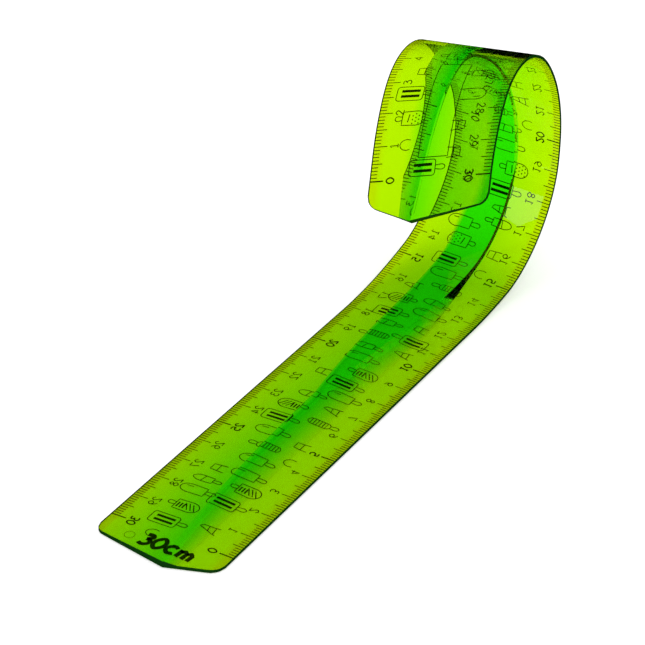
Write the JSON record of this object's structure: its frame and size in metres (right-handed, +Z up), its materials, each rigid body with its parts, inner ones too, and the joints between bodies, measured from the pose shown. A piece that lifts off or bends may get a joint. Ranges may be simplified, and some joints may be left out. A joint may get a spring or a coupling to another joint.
{
  "type": "flexible plastic ruler",
  "caption": "Flexible see-through plastic ruler with printed centimetre scales along both long edges, lying flat at one end and curled up and over at the other.",
  "frame": {"origin": "middle of the scale's zero line on the flat stretch's underside, which is the printed face", "axes": "+Y along the flat stretch from its free end to the curl, +X across the strip, +Z up, away from the surface it lies on"},
  "size_m": [0.0532, 0.1882, 0.0824],
  "materials": {
    "clear_plastic": "clear lime green, smooth gloss",
    "print": "black printed ink"
  },
  "bodies": {
    "flat_length": {"flat_length": "clear_plastic"},
    "lift_1": {"lift_1": "clear_plastic"},
    "lift_2": {"lift_2": "clear_plastic"},
    "rise_1": {"rise_1": "clear_plastic"},
    "rise_2": {"rise_2": "clear_plastic"},
    "rise_3": {"rise_3": "clear_plastic"},
    "rise_4": {"rise_4": "clear_plastic"},
    "rise_5": {"rise_5": "clear_plastic"},
    "rise_6": {"rise_6": "clear_plastic"},
    "rise_7": {"rise_7": "clear_plastic"},
    "rise_8": {"rise_8": "clear_plastic"},
    "rise_9": {"rise_9": "clear_plastic"},
    "turn_1": {"turn_1": "clear_plastic"},
    "turn_2": {"turn_2": "clear_plastic"},
    "turn_3": {"turn_3": "clear_plastic"},
    "turn_4": {"turn_4": "clear_plastic"},
    "turn_5": {"turn_5": "clear_plastic"},
    "crest_1": {"crest_1": "clear_plastic"},
    "crest_2": {"crest_2": "clear_plastic"},
    "crest_3": {"crest_3": "clear_plastic"},
    "crest_4": {"crest_4": "clear_plastic"},
    "crest_5": {"crest_5": "clear_plastic"},
    "crest_6": {"crest_6": "clear_plastic"},
    "crest_7": {"crest_7": "clear_plastic"},
    "crest_8": {"crest_8": "clear_plastic"},
    "tail_1": {"tail_1": "clear_plastic"},
    "tail_2": {"tail_2": "clear_plastic"}
  },
  "joints": [
    {"name": "lift_1_bend", "type": "hinge", "parent": "flat_length", "child": "lift_1", "pos_m": [0, 0.129, 0.0005], "axis": [0.9613, 0.2756, 0], "range_deg": [-6, 1.2]},
    {"name": "lift_2_bend", "type": "hinge", "parent": "lift_1", "child": "lift_2", "pos_m": [0.00002, 0.14293, 0.00191], "axis": [0.9613, 0.2756, 0], "range_deg": [-6, 1.2]},
    {"name": "rise_1_bend", "type": "hinge", "parent": "lift_2", "child": "rise_1", "pos_m": [0.00008, 0.15229, 0.00382], "axis": [0.9981, -0.0113, -0.0608], "range_deg": [-9.11, 1.82]},
    {"name": "rise_2_bend", "type": "hinge", "parent": "rise_1", "child": "rise_2", "pos_m": [0.00015, 0.15707, 0.00562], "axis": [0.9981, -0.0113, -0.0608], "range_deg": [-9.11, 1.82]},
    {"name": "rise_3_bend", "type": "hinge", "parent": "rise_2", "child": "rise_3", "pos_m": [0.00027, 0.16151, 0.00815], "axis": [0.9981, -0.0113, -0.0608], "range_deg": [-9.11, 1.82]},
    {"name": "rise_4_bend", "type": "hinge", "parent": "rise_3", "child": "rise_4", "pos_m": [0.00042, 0.16549, 0.01135], "axis": [0.9981, -0.0113, -0.0608], "range_deg": [-9.11, 1.82]},
    {"name": "rise_5_bend", "type": "hinge", "parent": "rise_4", "child": "rise_5", "pos_m": [0.0006, 0.16891, 0.01515], "axis": [0.9981, -0.0113, -0.0608], "range_deg": [-9.11, 1.82]},
    {"name": "rise_6_bend", "type": "hinge", "parent": "rise_5", "child": "rise_6", "pos_m": [0.0008, 0.17169, 0.01943], "axis": [0.9981, -0.0113, -0.0608], "range_deg": [-9.11, 1.82]},
    {"name": "rise_7_bend", "type": "hinge", "parent": "rise_6", "child": "rise_7", "pos_m": [0.00102, 0.17376, 0.0241], "axis": [0.9981, -0.0113, -0.0608], "range_deg": [-9.11, 1.82]},
    {"name": "rise_8_bend", "type": "hinge", "parent": "rise_7", "child": "rise_8", "pos_m": [0.00124, 0.17505, 0.02904], "axis": [0.9981, -0.0113, -0.0608], "range_deg": [-9.11, 1.82]},
    {"name": "rise_9_bend", "type": "hinge", "parent": "rise_8", "child": "rise_9", "pos_m": [0.00147, 0.17555, 0.03412], "axis": [0.9981, -0.0113, -0.0608], "range_deg": [-9.11, 1.82]},
    {"name": "turn_1_bend", "type": "hinge", "parent": "rise_9", "child": "turn_1", "pos_m": [0.00174, 0.17517, 0.04036], "axis": [0.9933, -0.0218, 0.1131], "range_deg": [-8.4, 1.68]},
    {"name": "turn_2_bend", "type": "hinge", "parent": "turn_1", "child": "turn_2", "pos_m": [0.00204, 0.17365, 0.0476], "axis": [0.9933, -0.0218, 0.1131], "range_deg": [-8.4, 1.68]},
    {"name": "turn_3_bend", "type": "hinge", "parent": "turn_2", "child": "turn_3", "pos_m": [0.00236, 0.17111, 0.05454], "axis": [0.9933, -0.0218, 0.1131], "range_deg": [-8.4, 1.68]},
    {"name": "turn_4_bend", "type": "hinge", "parent": "turn_3", "child": "turn_4", "pos_m": [0.00271, 0.16759, 0.06104], "axis": [0.9933, -0.0218, 0.1131], "range_deg": [-8.4, 1.68]},
    {"name": "turn_5_bend", "type": "hinge", "parent": "turn_4", "child": "turn_5", "pos_m": [0.0031, 0.16317, 0.06696], "axis": [0.9933, -0.0218, 0.1131], "range_deg": [-8.4, 1.68]},
    {"name": "crest_1_bend", "type": "hinge", "parent": "turn_5", "child": "crest_1", "pos_m": [0.00349, 0.1587, 0.07142], "axis": [0.987, -0.059, 0.1494], "range_deg": [-9.5, 1.9]},
    {"name": "crest_2_bend", "type": "hinge", "parent": "crest_1", "child": "crest_2", "pos_m": [0.00388, 0.15445, 0.07448], "axis": [0.987, -0.059, 0.1494], "range_deg": [-9.5, 1.9]},
    {"name": "crest_3_bend", "type": "hinge", "parent": "crest_2", "child": "crest_3", "pos_m": [0.00436, 0.14977, 0.0768], "axis": [0.987, -0.059, 0.1494], "range_deg": [-9.5, 1.9]},
    {"name": "crest_4_bend", "type": "hinge", "parent": "crest_3", "child": "crest_4", "pos_m": [0.00493, 0.14478, 0.07834], "axis": [0.987, -0.059, 0.1494], "range_deg": [-9.5, 1.9]},
    {"name": "crest_5_bend", "type": "hinge", "parent": "crest_4", "child": "crest_5", "pos_m": [0.00562, 0.13963, 0.07905], "axis": [0.987, -0.059, 0.1494], "range_deg": [-9.5, 1.9]},
    {"name": "crest_6_bend", "type": "hinge", "parent": "crest_5", "child": "crest_6", "pos_m": [0.00644, 0.13444, 0.07893], "axis": [0.987, -0.059, 0.1494], "range_deg": [-9.5, 1.9]},
    {"name": "crest_7_bend", "type": "hinge", "parent": "crest_6", "child": "crest_7", "pos_m": [0.00738, 0.12937, 0.07797], "axis": [0.987, -0.059, 0.1494], "range_deg": [-9.5, 1.9]},
    {"name": "crest_8_bend", "type": "hinge", "parent": "crest_7", "child": "crest_8", "pos_m": [0.00847, 0.12454, 0.0762], "axis": [0.987, -0.059, 0.1494], "range_deg": [-9.5, 1.9]},
    {"name": "tail_1_bend", "type": "hinge", "parent": "crest_8", "child": "tail_1", "pos_m": [0.01036, 0.11766, 0.07232], "axis": [0.9865, -0.1184, 0.1127], "range_deg": [-8, 1.6]},
    {"name": "tail_2_bend", "type": "hinge", "parent": "tail_1", "child": "tail_2", "pos_m": [0.01315, 0.1092, 0.06587], "axis": [0.9865, -0.1184, 0.1127], "range_deg": [-8, 1.6]}
  ],
  "couplings": [
    {"joint": "lift_2_bend", "follows": "lift_1_bend", "ratio": 1},
    {"joint": "rise_2_bend", "follows": "rise_1_bend", "ratio": 1},
    {"joint": "rise_3_bend", "follows": "rise_1_bend", "ratio": 1},
    {"joint": "rise_4_bend", "follows": "rise_1_bend", "ratio": 1},
    {"joint": "rise_5_bend", "follows": "rise_1_bend", "ratio": 1},
    {"joint": "rise_6_bend", "follows": "rise_1_bend", "ratio": 1},
    {"joint": "rise_7_bend", "follows": "rise_1_bend", "ratio": 1},
    {"joint": "rise_8_bend", "follows": "rise_1_bend", "ratio": 1},
    {"joint": "rise_9_bend", "follows": "rise_1_bend", "ratio": 1},
    {"joint": "turn_2_bend", "follows": "turn_1_bend", "ratio": 1},
    {"joint": "turn_3_bend", "follows": "turn_1_bend", "ratio": 1},
    {"joint": "turn_4_bend", "follows": "turn_1_bend", "ratio": 1},
    {"joint": "turn_5_bend", "follows": "turn_1_bend", "ratio": 1},
    {"joint": "crest_2_bend", "follows": "crest_1_bend", "ratio": 1},
    {"joint": "crest_3_bend", "follows": "crest_1_bend", "ratio": 1},
    {"joint": "crest_4_bend", "follows": "crest_1_bend", "ratio": 1},
    {"joint": "crest_5_bend", "follows": "crest_1_bend", "ratio": 1},
    {"joint": "crest_6_bend", "follows": "crest_1_bend", "ratio": 1},
    {"joint": "crest_7_bend", "follows": "crest_1_bend", "ratio": 1},
    {"joint": "crest_8_bend", "follows": "crest_1_bend", "ratio": 1},
    {"joint": "tail_2_bend", "follows": "tail_1_bend", "ratio": 1}
  ]
}
